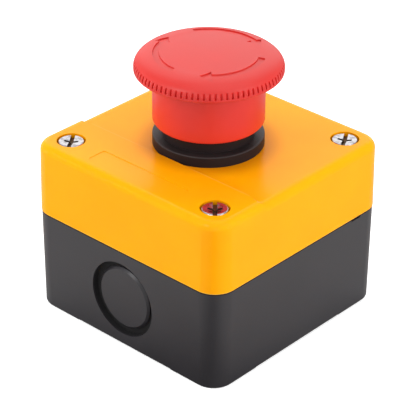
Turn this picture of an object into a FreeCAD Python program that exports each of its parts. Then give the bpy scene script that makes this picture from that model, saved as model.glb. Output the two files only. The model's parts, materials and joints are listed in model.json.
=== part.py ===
import FreeCAD, Part
import math
import os

# Emergency stop station: a two-shell box, a latching mushroom operator and two contact blocks.
# Millimetres, +Z up, origin under the middle of the box. Cable entries face -Y and +Y.

# Box shells
box_w = 68.0                # across the lid at the seam
corner_r = 6.5              # upright corners
base_h = 29.5               # floor line to seam
lid_h = 20.1                # seam to the lid's main top
wall_t = 2.6
floor_t = 2.6
roof_t = 2.6
lid_draft = 0.3             # lid narrows by this on each side towards the top
base_draft = 0.2            # base narrows by this on each side towards the floor
seam_overhang = 0.15        # lid stands this far outside the base
seam_bevel = 0.3            # lid's outer edge at the seam
lid_edge_r = 2.5
base_edge_r = 0.8
foot_h = 0.6
foot_len = 16.5
strip_rise = 0.7            # raised strip along the lid's front
strip_ramp = 1.5            # slope of the strip's step
strip_gap = 0.15            # between the strip's step and the collar
label_w = 31.0              # bare label field sunk into the strip
label_d = 6.0
label_margin = 4.0
label_depth = 0.15
label_corner_r = 0.8

# Cable knockouts, pry notch and wall fixing
knock_r = 11.0
knock_z = 14.8
knock_groove_w = 1.9
knock_groove_depth = 1.9
knock_disc_depth = 0.7
knock_bevel = 0.6           # disc's outer edge
pry_len = 3.6
pry_h = 0.6
pry_depth = 0.6
pry_y = 22.5
mount_pitch = 48.0
mount_hole_r = 2.2

# Lid screws, their towers and the seam's gasket
screw_inset = 8.0           # screw axis from the box's sides
screw_r = 1.95
screw_len = 25.0
screw_head_r = 3.55
screw_head_h = 2.2
screw_head_round = 0.4
screw_recess = 0.05         # head top below the surface round it
slot_w = 1.15
slot_depth = 1.0
cross_w = 0.85
cross_len = 3.8
slot_turns = {(-1, -1): -55.0, (1, -1): -48.0, (1, 1): -60.0, (-1, 1): 15.0}
tower_r = 4.8
tower_web_t = 1.6
insert_r = 2.9
insert_len = 9.0
groove_w = 1.2
groove_depth = 1.5
gasket_h = 0.9
tongue_w = 0.9

# Operator: collar, neck and stem in one moulding
collar_r = 15.1
collar_h = 3.0
collar_round = 0.45
neck_r = 12.4
neck_h = 6.6
neck_wall = 1.5
neck_bevel = 0.5
stem_r = 10.95
stem_len = 13.4             # below the lid's main top
stem_wall = 1.75
web_rise = 0.6              # spring seat above the lid's main top
web_t = 3.2
key_w = 2.9
key_reach = 0.95
seal_inner_r = 11.7
seal_w = 2.0
seal_t = 0.75
nut_flats = 27.0
nut_t = 4.4
nut_chamfer = 1.2

# Mushroom head
head_r = 20.0
skirt_r = 15.05
skirt_h = 14.6
skirt_round = 0.8
skirt_wall = 1.8
rim_round = 0.4
rim_land = 0.8              # upright band above the rim's lower round
shoulder_w = 7.5
shoulder_h = 3.8
crown_h = 0.5
crown_t = 3.2
tooth_count = 84
notch_w = 0.62
notch_depth = 0.6
notch_h = 1.65
notch_lip = 0.85
arrow_count = 3
arrow_r = 14.05
arrow_w = 1.7
arrow_span = 87.0           # tail to tip, degrees
arrow_tail = 30.0
arrow_head_w = 4.6
arrow_head_span = 12.0
arrow_depth = 0.35
hub_r = 5.0
hub_flange_r = 10.3
hub_flange_t = 1.2
hub_flange_drop = 8.4       # flange seat below the cavity's roof
hub_root = 1.0              # hub and ribs run this far into the crown
rib_count = 6
rib_t = 1.2

# Push, twist and latch
push_travel = 3.5
push_clear = 0.3
twist_angle = 40.0
spindle_r = 3.0
socket_depth = 1.2          # spindle's end below the cavity's roof
pin_r = 0.9
pin_len = 17.0
pin_rise = 1.7              # pin axis above the spindle's lower end
slider_floor_t = 0.7
slider_key_w = 2.4
slider_key_reach = 0.7
slider_key_len = 6.0
latch_rise = 3.9            # latch ring above the stem's end
latch_ring_h = 0.8
latch_ring_w = 0.7
latch_gap = 50.0            # opening of the split ring, degrees
spindle_seal_w = 1.2
spindle_seal_h = 1.1

# Springs: mean radius, wire thickness and turns
return_coil_r = 8.4
return_wire = 1.0
return_turns = 5
twist_coil_r = 5.7
twist_wire = 0.8
twist_turns = 6
plunger_coil_r = 1.9
plunger_wire = 0.5
plunger_turns = 6
contact_coil_r = 1.05
contact_wire = 0.35
contact_turns = 4
coil_steps = 12             # straight pieces in a turn

# Contact carrier and blocks
carrier_w = 30.0
carrier_d = 40.0
carrier_corner_r = 3.0
carrier_lip_t = 4.0
carrier_drop = 0.6          # below the nut
grub_r = 1.5
block_w = 10.8
block_len = 38.0
block_h = 22.0
block_gap = 0.4
block_wall = 1.2
cover_t = 1.0
cover_corner_r = 2.0
tongue_len = 6.0
tongue_t = 2.0
tongue_h = 2.5
tongue_inset = 4.0          # tongue's middle from the block's end
plunger_r = 2.0
cage_w = 5.0
cage_d = 6.4
cage_h = 7.0
cage_drop = 5.0             # cage top below the block's top
cage_plate_t = 1.0
cage_pin_r = 1.2
cage_pin_len = 4.5
bridge_w = 3.0
bridge_margin = 1.6         # bridge past its tips
strip_t = 0.8
strip_w = 5.0
tip_r = 1.3
tip_t = 0.6
tip_inset = 3.0             # tips inside the fixed contact's riser
tip_margin = 1.5            # fixed contact past its tip
riser_inset = 4.2           # riser inside the terminal screw
terminal_inset = 4.8        # terminal screw from the block's end
terminal_end_gap = 1.5      # fixed contact's end from the block's end
terminal_rise = 5.5         # terminal strip above the block's bottom
terminal_screw_r = 1.7
terminal_head_r = 2.9
terminal_head_h = 2.0
terminal_screw_len = 6.0
clamp_w = 6.0
clamp_t = 1.2
clamp_gap = 1.0             # room for a wire under the strip
wire_hole_w = 5.0
shelf_t = 1.6

# Named clearances
fit_clear = 0.05            # seated and guided fits
slide_clear = 0.2           # sliding sleeves and loose bores
shank_clear = 0.25
head_clear = 0.4
rest_gap = 0.3              # stops that are met at the end of a stroke
beyond = 1.0                # cutting tools run this far past a face
tiny = 1e-4                 # lengths below this count as nothing

# Heights that follow from the sizes above
seam_z = base_h
lid_top = seam_z + lid_h
strip_top = lid_top + strip_rise
roof_z = lid_top - roof_t
floor_z = foot_h + floor_t
screw_at = box_w / 2 - screw_inset
collar_top = lid_top + collar_h
strip_edge_y = -(collar_r + strip_gap)
web_top = lid_top + web_rise
web_bottom = web_top - web_t
stem_end = lid_top - stem_len
stem_bore_r = stem_r - stem_wall
skirt_bottom = collar_top + push_travel + push_clear
rim_bottom = skirt_bottom + skirt_h
rim_top = rim_bottom + rim_round + rim_land
shoulder_top = rim_top + shoulder_h
apex_z = shoulder_top + crown_h
cavity_roof = apex_z - crown_t
flange_z = cavity_roof - hub_flange_drop
nut_bottom = roof_z - nut_t
carrier_top = nut_bottom - carrier_drop
carrier_bottom = stem_end - slide_clear - carrier_lip_t
slider_bottom = carrier_bottom + push_travel + push_clear
slider_top = web_bottom - rest_gap
slider_r = stem_bore_r - slide_clear
spindle_end = slider_bottom + slider_floor_t
pin_z = spindle_end + pin_rise
latch_z = stem_end + latch_rise
block_top = carrier_bottom
block_bottom = block_top - block_h
block_x = (block_gap + block_w) / 2
cage_top = block_top - cage_drop
cage_bottom = cage_top - cage_h
window_top = cage_top - cage_plate_t
window_bottom = cage_bottom + cage_plate_t
tongue_y = block_len / 2 - tongue_inset
terminal_z = block_bottom + terminal_rise
terminal_y = block_len / 2 - terminal_inset
terminal_end_y = block_len / 2 - terminal_end_gap
riser_y = terminal_y - riser_inset
tip_y = riser_y - tip_inset
contact_start_y = tip_y - tip_margin
bridge_len = 2 * (tip_y + bridge_margin)

V = FreeCAD.Vector
UP = V(0, 0, 1)


# Drawing helpers

def bend(x, y, r, start, end):
    """An arc step of an outline: centre, radius and two angles in degrees."""
    return {"x": x, "y": y, "r": r, "start": start, "end": end}


def eased(x, z, r):
    """Two flats in place of a quarter round, from an outer side up to a top."""
    cut = r * (1 - math.sqrt(0.5))
    return [(x, z - r), (x - cut, z - cut), (x - r, z)]


def step_points(step):
    """Plane points of one outline step: the point itself, or a bend's start, middle and end."""
    if not isinstance(step, dict):
        return [step]
    angles = [math.radians(a) for a in (step["start"], (step["start"] + step["end"]) / 2, step["end"])]
    return [(step["x"] + step["r"] * math.cos(a), step["y"] + step["r"] * math.sin(a)) for a in angles]


def path(steps, place):
    """Edges through points and bends; place turns two plane coordinates into a point in space."""
    edges = []
    last = None
    for step in steps:
        points = [place(*xy) for xy in step_points(step)]
        if last is not None and last.distanceToPoint(points[0]) > tiny:
            edges.append(Part.LineSegment(last, points[0]).toShape())
        if len(points) > 1:
            edges.append(Part.Arc(*points).toShape())
        last = points[-1]
    return edges


def outline(steps, place):
    """Closed wire through points and bends."""
    return Part.Wire(path(steps + step_points(steps[0])[:1], place))


def upright(r, z):
    return V(r, 0, z)


def spun(wire):
    """Solid of revolution about Z from a closed wire in the upright plane."""
    return Part.Face(wire).revolve(V(0, 0, 0), UP, 360)


def turned(steps):
    """Solid of revolution about Z from an outline of radius and height."""
    return spun(outline(steps, upright))


def quarter_ellipse(x, z, across, rise):
    """Edge of a quarter ellipse in the upright plane, from its outer side to its top."""
    centre = upright(x, z)
    top = upright(x, z + rise)
    if across >= rise:
        ellipse = Part.Ellipse(upright(x + across, z), top, centre)
        return Part.ArcOfEllipse(ellipse, 0, math.pi / 2).toShape()
    ellipse = Part.Ellipse(top, upright(x - across, z), centre)
    return Part.ArcOfEllipse(ellipse, -math.pi / 2, 0).toShape()


def prism(wire, height):
    return Part.Face(wire).extrude(V(0, 0, height))


def block(x0, x1, y0, y1, z0, z1):
    """Box between two corners, whichever way round the limits are given."""
    low = V(min(x0, x1), min(y0, y1), min(z0, z1))
    return Part.makeBox(abs(x1 - x0), abs(y1 - y0), abs(z1 - z0), low)


def post(r, z0, z1, x=0.0, y=0.0):
    return Part.makeCylinder(r, z1 - z0, V(x, y, z0), UP)


def ring(outer_r, inner_r, z0, z1, x=0.0, y=0.0):
    return post(outer_r, z0, z1, x, y).cut(post(inner_r, z0 - beyond, z1 + beyond, x, y))


def round_rectangle(w, d, r, z, y=0.0):
    """Wire of a rectangle with round corners, centred on x = 0 and the given y."""
    cx = w / 2 - r
    cy = d / 2 - r
    corners = [(cx, cy, 0), (-cx, cy, 90), (-cx, -cy, 180), (cx, -cy, 270)]
    steps = [bend(x, y + v, r, a, a + 90) for x, v, a in corners]
    return outline(steps, lambda u, v: V(u, v, z))


def loft(*wires):
    return Part.makeLoft(list(wires), True, True)


def joined(first, *others):
    return first.fuse(list(others)).removeSplitter()


def level_edges(solid, z):
    """Edges that lie wholly at one height."""
    return [e for e in solid.Edges if max(abs(e.BoundBox.ZMin - z), abs(e.BoundBox.ZMax - z)) < tiny]


def coil(radius, wire, z0, z1, turns):
    """Hexagon-section coil with flat pitch, between two heights, as one ruled loft along the helix."""
    half = wire / 2
    stations = turns * coil_steps
    sections = []
    for k in range(stations + 1):
        angle = 2 * math.pi * k / coil_steps
        z = z0 + half + (z1 - z0 - wire) * k / stations
        corners = []
        for side in range(6):
            a = math.radians(60 * side + 30)
            r = radius + half * math.cos(a)
            corners.append(V(r * math.cos(angle), r * math.sin(angle), z + half * math.sin(a)))
        sections.append(Part.makePolygon(corners + corners[:1]))
    return loft(*sections)


def at(solid, x, y=0.0):
    return solid.translated(V(x, y, 0))


def save(node, *solids):
    shape = solids[0] if len(solids) == 1 else Part.makeCompound(list(solids))
    shape.exportStep("parts/" + node + ".step")


# Box shells

def lid_section(z, inwards):
    inset = inwards + lid_draft * (z - seam_z) / lid_h
    return round_rectangle(box_w - 2 * inset, box_w - 2 * inset, corner_r - inset, z)


def base_section(z, inwards):
    inset = inwards + seam_overhang + base_draft * (seam_z - z) / base_h
    return round_rectangle(box_w - 2 * inset, box_w - 2 * inset, corner_r - inset, z)


def seam_ring(width, z0, z1):
    """Ring of the given width along the middle of the base's rim."""
    middle = seam_overhang + wall_t / 2
    sides = []
    for inset in (middle - width / 2, middle + width / 2):
        w = box_w - 2 * inset
        sides.append(prism(round_rectangle(w, w, corner_r - inset, z0), z1 - z0))
    return sides[0].cut(sides[1])


def screw_seat(sy):
    """Underside of a screw's head, which is sunk into the strip in front and into the main top behind."""
    surface = strip_top if sy < 0 else lid_top
    return surface - screw_recess - screw_head_h


def screw_places():
    return [(sx * screw_at, sy * screw_at, sx, sy) for sx, sy in slot_turns]


def corner_tower(x, y, sx, sy, z0, z1):
    """Screw tower in a box corner, tied to both walls by a web."""
    reach = box_w / 2 - wall_t / 2 - seam_overhang
    half = tower_web_t / 2
    webs = [block(x, sx * reach, y - half, y + half, z0, z1),
            block(x - half, x + half, y, sy * reach, z0, z1)]
    return joined(post(tower_r, z0, z1, x, y), *webs)


def lid_blank(top):
    """Drafted outer form of the lid, bevelled at the seam and rounded at its top edge."""
    blank = loft(lid_section(seam_z, seam_bevel), lid_section(seam_z + seam_bevel, 0), lid_section(top, 0))
    return blank.makeFillet(lid_edge_r, level_edges(blank, top))


def front_strip():
    """Front of the lid up to the strip's top, with a sloping step towards the collar."""
    step_y = strip_edge_y - strip_ramp
    side = outline([(-box_w, seam_z), (strip_edge_y, seam_z), (strip_edge_y, lid_top), (step_y, strip_top),
                    (step_y, strip_top + beyond), (-box_w, strip_top + beyond)], lambda y, z: V(-box_w, y, z))
    return lid_blank(strip_top).common(Part.Face(side).extrude(V(2 * box_w, 0, 0)))


def make_lid():
    body = joined(lid_blank(lid_top), front_strip())
    body = body.cut(loft(lid_section(seam_z - beyond, wall_t), lid_section(roof_z, wall_t)))
    towers = [corner_tower(*place, seam_z, roof_z + roof_t / 2) for place in screw_places()]
    tongue = seam_ring(tongue_w, seam_z - groove_depth + gasket_h, seam_z + wall_t / 2)
    body = joined(body, tongue, *towers)
    label_y = label_margin + label_d / 2 - box_w / 2
    label_plan = round_rectangle(label_w, label_d, label_corner_r, strip_top - label_depth, label_y)
    label = prism(label_plan, beyond)
    hole_r = stem_r + slide_clear
    notch_r = hole_r + key_reach
    cuts = [label, post(hole_r, roof_z - beyond, strip_top + beyond)]
    half = key_w / 2 + slide_clear
    cuts.append(block(-half, half, 0, notch_r, roof_z - beyond, strip_top + beyond))
    for x, y, sx, sy in screw_places():
        seat = screw_seat(sy)
        cuts.append(post(screw_head_r + head_clear, seat, strip_top + beyond, x, y))
        cuts.append(post(screw_r + shank_clear, seam_z - groove_depth, seat + beyond, x, y))
    return body.cut(cuts)


def knockouts():
    """Cutting tools for the front and back walls, each one revolve: a sunk disc inside a ring groove."""
    face_y = box_w / 2 - seam_overhang - base_draft * (seam_z - knock_z) / base_h
    disc_r = knock_r - knock_groove_w
    disc_y = face_y - knock_disc_depth
    groove_y = face_y - knock_groove_depth
    outside_y = face_y + beyond
    steps = [(0, outside_y), (0, disc_y), (disc_r - knock_bevel, disc_y), (disc_r, disc_y - knock_bevel),
             (disc_r, groove_y), (knock_r, groove_y), (knock_r, outside_y)]
    tools = []
    for side in (-1, 1):
        wire = outline(steps, lambda r, y: V(0, side * y, knock_z + r))
        tools.append(Part.Face(wire).revolve(V(0, 0, knock_z), V(0, 1, 0), 360))
    return tools


def make_base():
    blank = loft(base_section(0, 0), base_section(seam_z, 0))
    body = blank.makeFillet(base_edge_r, level_edges(blank, 0))
    body = body.cut(loft(base_section(floor_z, wall_t), base_section(seam_z + beyond, wall_t)))
    bosses = [corner_tower(*place, floor_z - floor_t / 2, seam_z) for place in screw_places()]
    body = joined(body, *bosses)
    gap = box_w / 2 - foot_len
    cuts = [block(-gap, gap, -box_w, box_w, -beyond, foot_h),
            block(-box_w, box_w, -gap, gap, -beyond, foot_h)]
    cuts.append(seam_ring(groove_w, seam_z - groove_depth, seam_z + beyond))
    pry_x = box_w / 2 - seam_overhang - pry_depth
    half = pry_len / 2
    cuts.append(block(pry_x, box_w, pry_y - half, pry_y + half, seam_z - pry_h, seam_z + beyond))
    cuts += [post(mount_hole_r, -beyond, floor_z + beyond, s * mount_pitch / 2) for s in (-1, 1)]
    cuts += knockouts()
    for x, y, sx, sy in screw_places():
        hole_end = min(screw_seat(sy) - screw_len, seam_z - insert_len) - beyond
        cuts.append(post(insert_r + fit_clear, seam_z - insert_len, seam_z + beyond, x, y))
        cuts.append(post(screw_r + shank_clear, hole_end, seam_z, x, y))
    return body.cut(cuts)


def make_gasket():
    foot = seam_z - groove_depth
    return seam_ring(groove_w - 2 * fit_clear, foot, foot + gasket_h)


def make_lid_screw(x, y, sy, turn):
    """Pan-head screw with a full slot and a shorter cross, turned about its axis."""
    seat = screw_seat(sy)
    top = seat + screw_head_h
    tip_z = seat - screw_len
    tip_r = screw_r / 2
    shape = turned([(0, tip_z), (tip_r, tip_z), (screw_r, tip_z + tip_r), (screw_r, seat),
                    (screw_head_r, seat)] + eased(screw_head_r, top, screw_head_round) + [(0, top)])
    slot = block(-screw_head_r, screw_head_r, -slot_w / 2, slot_w / 2, top - slot_depth, top + beyond)
    cross = block(-cross_w / 2, cross_w / 2, -cross_len / 2, cross_len / 2, top - slot_depth, top + beyond)
    shape = shape.cut([slot, cross])
    shape.rotate(V(0, 0, 0), UP, turn)
    return at(shape, x, y)


def make_insert(x, y):
    return ring(insert_r, screw_r + fit_clear, seam_z - insert_len, seam_z, x, y)


# Operator

def make_collar():
    """Flange, guide neck and stem as one revolve, with its grooves, key and slider's keyway."""
    neck_top = collar_top + neck_h
    inner_r = neck_r - neck_wall
    bore_r = spindle_r + fit_clear
    body = turned([(stem_bore_r, stem_end), (stem_r, stem_end), (stem_r, lid_top), (collar_r, lid_top),
                   bend(collar_r - collar_round, collar_top - collar_round, collar_round, 0, 90),
                   (neck_r, collar_top), (neck_r, neck_top - neck_bevel), (neck_r - neck_bevel, neck_top),
                   (inner_r, neck_top),
                   (inner_r, web_top), (bore_r, web_top), (bore_r, web_bottom), (stem_bore_r, web_bottom)])
    key = block(-key_w / 2, key_w / 2, stem_r - key_reach, stem_r + key_reach, roof_z + fit_clear, lid_top)
    body = joined(body, key.cut(post(stem_r - key_reach, stem_end, lid_top)))
    seal_outer_r = seal_inner_r + seal_w
    seal_pocket = ring(seal_outer_r + fit_clear, seal_inner_r - fit_clear, lid_top - beyond, lid_top + seal_t)
    seal_pocket = seal_pocket.common(post(collar_r, lid_top, collar_top))
    groove_r = bore_r + spindle_seal_w
    half = spindle_seal_h / 2 + fit_clear
    middle = (web_top + web_bottom) / 2
    oil_groove = post(groove_r, middle - half, middle + half)
    latch_groove = post(stem_bore_r + latch_ring_w + slide_clear, latch_z - latch_ring_h / 2 - fit_clear,
                        latch_z + latch_ring_h / 2 + fit_clear)
    way = slider_key_w / 2 + slide_clear
    keyway = block(-way, way, -(slider_r + slider_key_reach + slide_clear), 0, stem_end - beyond, web_bottom)
    return body.cut([seal_pocket, oil_groove, latch_groove, keyway])


def make_collar_seal():
    return ring(seal_inner_r + seal_w, seal_inner_r, lid_top, lid_top + seal_t)


def make_spindle_seal():
    middle = (web_top + web_bottom) / 2
    inner_r = spindle_r + fit_clear
    half = spindle_seal_h / 2
    return ring(inner_r + spindle_seal_w - fit_clear, inner_r, middle - half, middle + half)


def make_ring_nut():
    """Hexagon nut with its corners chamfered on both faces."""
    corner = nut_flats / 2 / math.cos(math.radians(30))
    points = [V(corner * math.cos(a), corner * math.sin(a), nut_bottom)
              for a in (math.radians(60 * k + 30) for k in range(6))]
    hexagon = prism(Part.makePolygon(points + points[:1]), nut_t)
    face_r = nut_flats / 2
    slope = corner - face_r
    bound = turned([(0, nut_bottom), (face_r, nut_bottom), (face_r + slope, nut_bottom + nut_chamfer),
                    (face_r + slope, roof_z - nut_chamfer), (face_r, roof_z), (0, roof_z)])
    return hexagon.common(bound).cut(post(stem_r + fit_clear, nut_bottom - beyond, roof_z + beyond))


def head_blank(top_shift=0.0):
    """Outer form of the head: straight skirt, rim with an upright band, elliptic shoulder, shallow crown."""
    shoulder_r = head_r - shoulder_w
    crown_r = (shoulder_r ** 2 + crown_h ** 2) / (2 * crown_h)
    crown_turn = math.degrees(math.asin(shoulder_r / crown_r))
    lower = path([(0, apex_z), (0, skirt_bottom),
                  bend(skirt_r - skirt_round, skirt_bottom + skirt_round, skirt_round, 270, 360),
                  (skirt_r, rim_bottom),
                  bend(head_r - rim_round, rim_bottom + rim_round, rim_round, 270, 360),
                  (head_r, rim_top)], upright)
    shoulder = quarter_ellipse(shoulder_r, rim_top, shoulder_w, shoulder_h)
    crown = path([bend(0, apex_z - crown_r, crown_r, 90 - crown_turn, 90)], upright)
    return spun(Part.Wire(lower + [shoulder] + crown)).translated(V(0, 0, top_shift))


def arrow_prism(turn):
    """Upright prism over one clockwise turn arrow: a curved band with a pointed head."""
    inner = arrow_r - arrow_w / 2
    outer = arrow_r + arrow_w / 2
    barb = arrow_head_w / 2
    tip = turn - arrow_span
    neck = tip + arrow_head_span

    def polar(r, a):
        return (r * math.cos(math.radians(a)), r * math.sin(math.radians(a)))

    steps = [bend(0, 0, outer, turn, neck), polar(arrow_r + barb, neck), polar(arrow_r, tip),
             polar(arrow_r - barb, neck), bend(0, 0, inner, neck, turn)]
    return prism(outline(steps, lambda x, y: V(x, y, rim_top)), apex_z - rim_top + beyond)


def rim_notches():
    """Upright pockets round the rim, closed by a lip below and by the shoulder above."""
    pocket = block(head_r - notch_depth, head_r + beyond, -notch_w / 2, notch_w / 2,
                   rim_bottom + notch_lip, rim_bottom + notch_lip + notch_h)
    pockets = []
    for k in range(tooth_count):
        turned_pocket = pocket.copy()
        turned_pocket.rotate(V(0, 0, 0), UP, 360 * k / tooth_count)
        pockets.append(turned_pocket)
    return Part.makeCompound(pockets)


def make_head():
    """Hollow mushroom head with a ribbed hub, sunk arrows and a notched rim."""
    inner_r = skirt_r - skirt_wall
    cavity = post(inner_r, skirt_bottom - beyond, cavity_roof)
    body = head_blank().cut(cavity)
    root_z = cavity_roof + hub_root
    hub = joined(post(hub_r, skirt_bottom, root_z), post(hub_flange_r, flange_z, flange_z + hub_flange_t))
    rib_foot = flange_z + hub_flange_t / 2
    ribs = []
    for k in range(rib_count):
        rib = block(0, inner_r + skirt_wall / 2, -rib_t / 2, rib_t / 2, rib_foot, root_z)
        rib.rotate(V(0, 0, 0), UP, 360 * k / rib_count)
        ribs.append(rib)
    body = joined(body, hub, *ribs)
    lowered = head_blank(-arrow_depth)
    arrows = [arrow_prism(arrow_tail + 360 * k / arrow_count).cut(lowered) for k in range(arrow_count)]
    socket = post(spindle_r + fit_clear, skirt_bottom - beyond, cavity_roof - socket_depth + fit_clear)
    return body.cut(arrows + [socket]).cut(rim_notches())


def make_spindle():
    body = post(spindle_r, spindle_end, cavity_roof - socket_depth)
    reach = spindle_r + beyond
    return body.cut(Part.makeCylinder(pin_r + fit_clear, 2 * reach, V(-reach, 0, pin_z), V(1, 0, 0)))


def make_cross_pin():
    return Part.makeCylinder(pin_r, pin_len, V(-pin_len / 2, 0, pin_z), V(1, 0, 0))


def make_slider():
    """Sleeve with a key, a latch groove and two windows that the cross pin swings in."""
    groove_z = latch_z + push_travel
    half = latch_ring_h / 2
    bore_r = spindle_r + fit_clear
    body = turned([(0, slider_bottom), (slider_r, slider_bottom), (slider_r, groove_z - 2 * half),
                   (slider_r - half, groove_z - half), (slider_r - half, groove_z + half),
                   (slider_r, groove_z + 2 * half), (slider_r, slider_top), (bore_r, slider_top),
                   (bore_r, spindle_end), (0, spindle_end)])
    key_half = slider_key_w / 2
    key_foot = slider_top - slider_key_len
    key = block(-key_half, key_half, -(slider_r + slider_key_reach), -slider_r / 2, key_foot, slider_top)
    body = joined(body, key)
    margin = math.degrees(math.asin((pin_r + slide_clear) / spindle_r))
    reach = slider_r + beyond
    low = pin_z - pin_r - fit_clear
    steps = [(0, 0), bend(0, 0, reach, margin, -twist_angle - margin)]
    window = prism(outline(steps, lambda x, y: V(x, y, low)), 2 * (pin_r + fit_clear))
    other = window.copy()
    other.rotate(V(0, 0, 0), UP, 180)
    return body.cut([window, other])


def make_latch_ring():
    """Split ring that sits in the stem's groove, open where the slider's key passes."""
    inner = stem_bore_r + fit_clear
    outer = inner + latch_ring_w
    start = -90 + latch_gap / 2
    end = 270 - latch_gap / 2
    steps = [bend(0, 0, outer, start, end), bend(0, 0, inner, end, start)]
    return prism(outline(steps, lambda x, y: V(x, y, latch_z - latch_ring_h / 2)), latch_ring_h)


# Contact carrier and blocks

def make_carrier():
    plan = round_rectangle(carrier_w, carrier_d, carrier_corner_r, carrier_bottom)
    body = prism(plan, carrier_top - carrier_bottom)
    seat = stem_end - slide_clear
    cuts = [post(stem_r + fit_clear, seat, carrier_top + beyond),
            post(slider_r + slide_clear, carrier_bottom - beyond, seat + beyond)]
    for side in (-1, 1):
        mid_z = (carrier_top + seat) / 2
        cuts.append(Part.makeCylinder(grub_r + fit_clear, carrier_w, V(0, 0, mid_z), V(side, 0, 0)))
        for end in (-1, 1):
            x = side * block_x
            y = end * tongue_y
            length = tongue_len / 2 + fit_clear
            thick = tongue_t / 2 + fit_clear
            cuts.append(block(x - length, x + length, y - thick, y + thick, carrier_bottom - beyond,
                              carrier_bottom + tongue_h + fit_clear))
    return body.cut(cuts)


def make_grub(side):
    mid_z = (carrier_top + stem_end - slide_clear) / 2
    start = stem_r + fit_clear
    return Part.makeCylinder(grub_r, carrier_w / 2 - start, V(side * start, 0, mid_z), V(side, 0, 0))


def strip_levels(kind):
    """Underside height of a fixed contact where it meets the bridge, and its tip's lower face."""
    if kind == "nc":
        tip_low = bridge_level(kind) + strip_t + tip_t
        return tip_low + tip_t, tip_low
    return terminal_z, terminal_z + strip_t


def bridge_level(kind):
    """Underside of the moving bridge at rest: lifted in the closed pair, down in the open pair."""
    if kind == "nc":
        return window_top - fit_clear - strip_t
    return max(window_bottom + fit_clear, terminal_z + strip_t + 2 * tip_t + push_travel + fit_clear)


def make_case(kind, side):
    """Block case, open on its outer side, with shelves for the fixed contacts and wire holes in its ends."""
    inner = block_gap / 2
    open_face = inner + block_w - cover_t
    half_len = block_len / 2
    body = block(side * inner, side * open_face, -half_len, half_len, block_bottom, block_top)
    hollow_len = half_len - block_wall
    hollow = block(side * (inner + block_wall), side * (open_face + beyond), -hollow_len, hollow_len,
                   block_bottom + block_wall, block_top - block_wall)
    body = body.cut(hollow)
    root = side * (inner + block_wall / 2)
    tip = side * open_face
    x = side * block_x
    contact_top = terminal_z + strip_t
    wire_low = terminal_z - clamp_gap - clamp_t
    added = []
    cuts = [post(plunger_r + fit_clear, block_top - 2 * block_wall, block_top + beyond, x)]
    for end in (-1, 1):
        inner_end = end * (riser_y + strip_t + slide_clear)
        outer_end = end * (half_len - block_wall / 2)
        added.append(block(root, tip, inner_end, outer_end, contact_top, contact_top + shelf_t))
        start = end * contact_start_y
        if kind == "nc":
            top = strip_levels(kind)[0] + strip_t
            added.append(block(root, tip, start, end * riser_y, top, top + shelf_t))
        else:
            added.append(block(root, tip, start, end * (riser_y - shelf_t), terminal_z - shelf_t, terminal_z))
        y = end * terminal_y
        cuts.append(post(terminal_screw_r + shank_clear, terminal_z, contact_top + shelf_t + beyond, x, y))
        head_hole_top = block_bottom + block_wall + beyond
        cuts.append(post(terminal_head_r + slide_clear, block_bottom - beyond, head_hole_top, x, y))
        half_w = wire_hole_w / 2
        wire_y = (end * (half_len - 2 * block_wall), end * (half_len + beyond))
        cuts.append(block(x - half_w, x + half_w, *wire_y, wire_low, contact_top))
        mid_y = end * tongue_y
        half_l = tongue_len / 2
        half_t = tongue_t / 2
        added.append(block(x - half_l, x + half_l, mid_y - half_t, mid_y + half_t,
                           block_top - block_wall / 2, block_top + tongue_h))
    return joined(body, *added).cut(cuts)


def make_cover(side):
    start = block_gap / 2 + block_w - cover_t
    plate = prism(round_rectangle(block_len, block_h, cover_corner_r, 0), cover_t)
    plate.rotate(V(0, 0, 0), V(1, 0, 0), 90)
    plate.rotate(V(0, 0, 0), UP, 90)
    foot = start if side > 0 else -start - cover_t
    return plate.translated(V(foot - plate.BoundBox.XMin, 0, (block_top + block_bottom) / 2))


def make_plunger(side):
    """Push rod with a windowed cage for the bridge and a lower pin for its spring."""
    cage = block(-cage_w / 2, cage_w / 2, -cage_d / 2, cage_d / 2, cage_bottom, cage_top)
    rod = post(plunger_r, cage_top - cage_plate_t / 2, slider_bottom)
    pin = post(cage_pin_r, cage_bottom - cage_pin_len, cage_bottom + cage_plate_t / 2)
    half = bridge_w / 2 + fit_clear
    window = block(-half, half, -cage_d, cage_d, window_bottom, window_top)
    return at(joined(cage, rod, pin).cut(window), side * block_x)


def make_bridge(kind, side):
    low = bridge_level(kind)
    strip = block(-bridge_w / 2, bridge_w / 2, -bridge_len / 2, bridge_len / 2, low, low + strip_t)
    middle = low + strip_t / 2
    span = (middle, low + strip_t + tip_t) if kind == "nc" else (low - tip_t, middle)
    tips = [post(tip_r, span[0], span[1], 0, end * tip_y) for end in (-1, 1)]
    return at(joined(strip, *tips), side * block_x)


def make_fixed_contact(kind, side, end):
    """Terminal strip, bent up to the bridge in the closed pair and flat in the open pair, with a tip."""
    level, tip_low = strip_levels(kind)
    if kind == "nc":
        steps = [(contact_start_y, level), (riser_y, level), (riser_y, terminal_z),
                 (terminal_end_y, terminal_z), (terminal_end_y, terminal_z + strip_t),
                 (riser_y + strip_t, terminal_z + strip_t),
                 (riser_y + strip_t, level + strip_t), (contact_start_y, level + strip_t)]
    else:
        steps = [(contact_start_y, level), (terminal_end_y, level), (terminal_end_y, level + strip_t),
                 (contact_start_y, level + strip_t)]
    wire = outline(steps, lambda y, z: V(-strip_w / 2, end * y, z))
    strip = Part.Face(wire).extrude(V(strip_w, 0, 0))
    middle = level + strip_t / 2
    span = (tip_low, middle) if kind == "nc" else (middle, tip_low + tip_t)
    tip = post(tip_r, span[0], span[1], 0, end * tip_y)
    hole_r = terminal_screw_r + fit_clear
    hole = post(hole_r, terminal_z - beyond, terminal_z + strip_t + beyond, 0, end * terminal_y)
    return at(joined(strip, tip).cut(hole), side * block_x)


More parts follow.
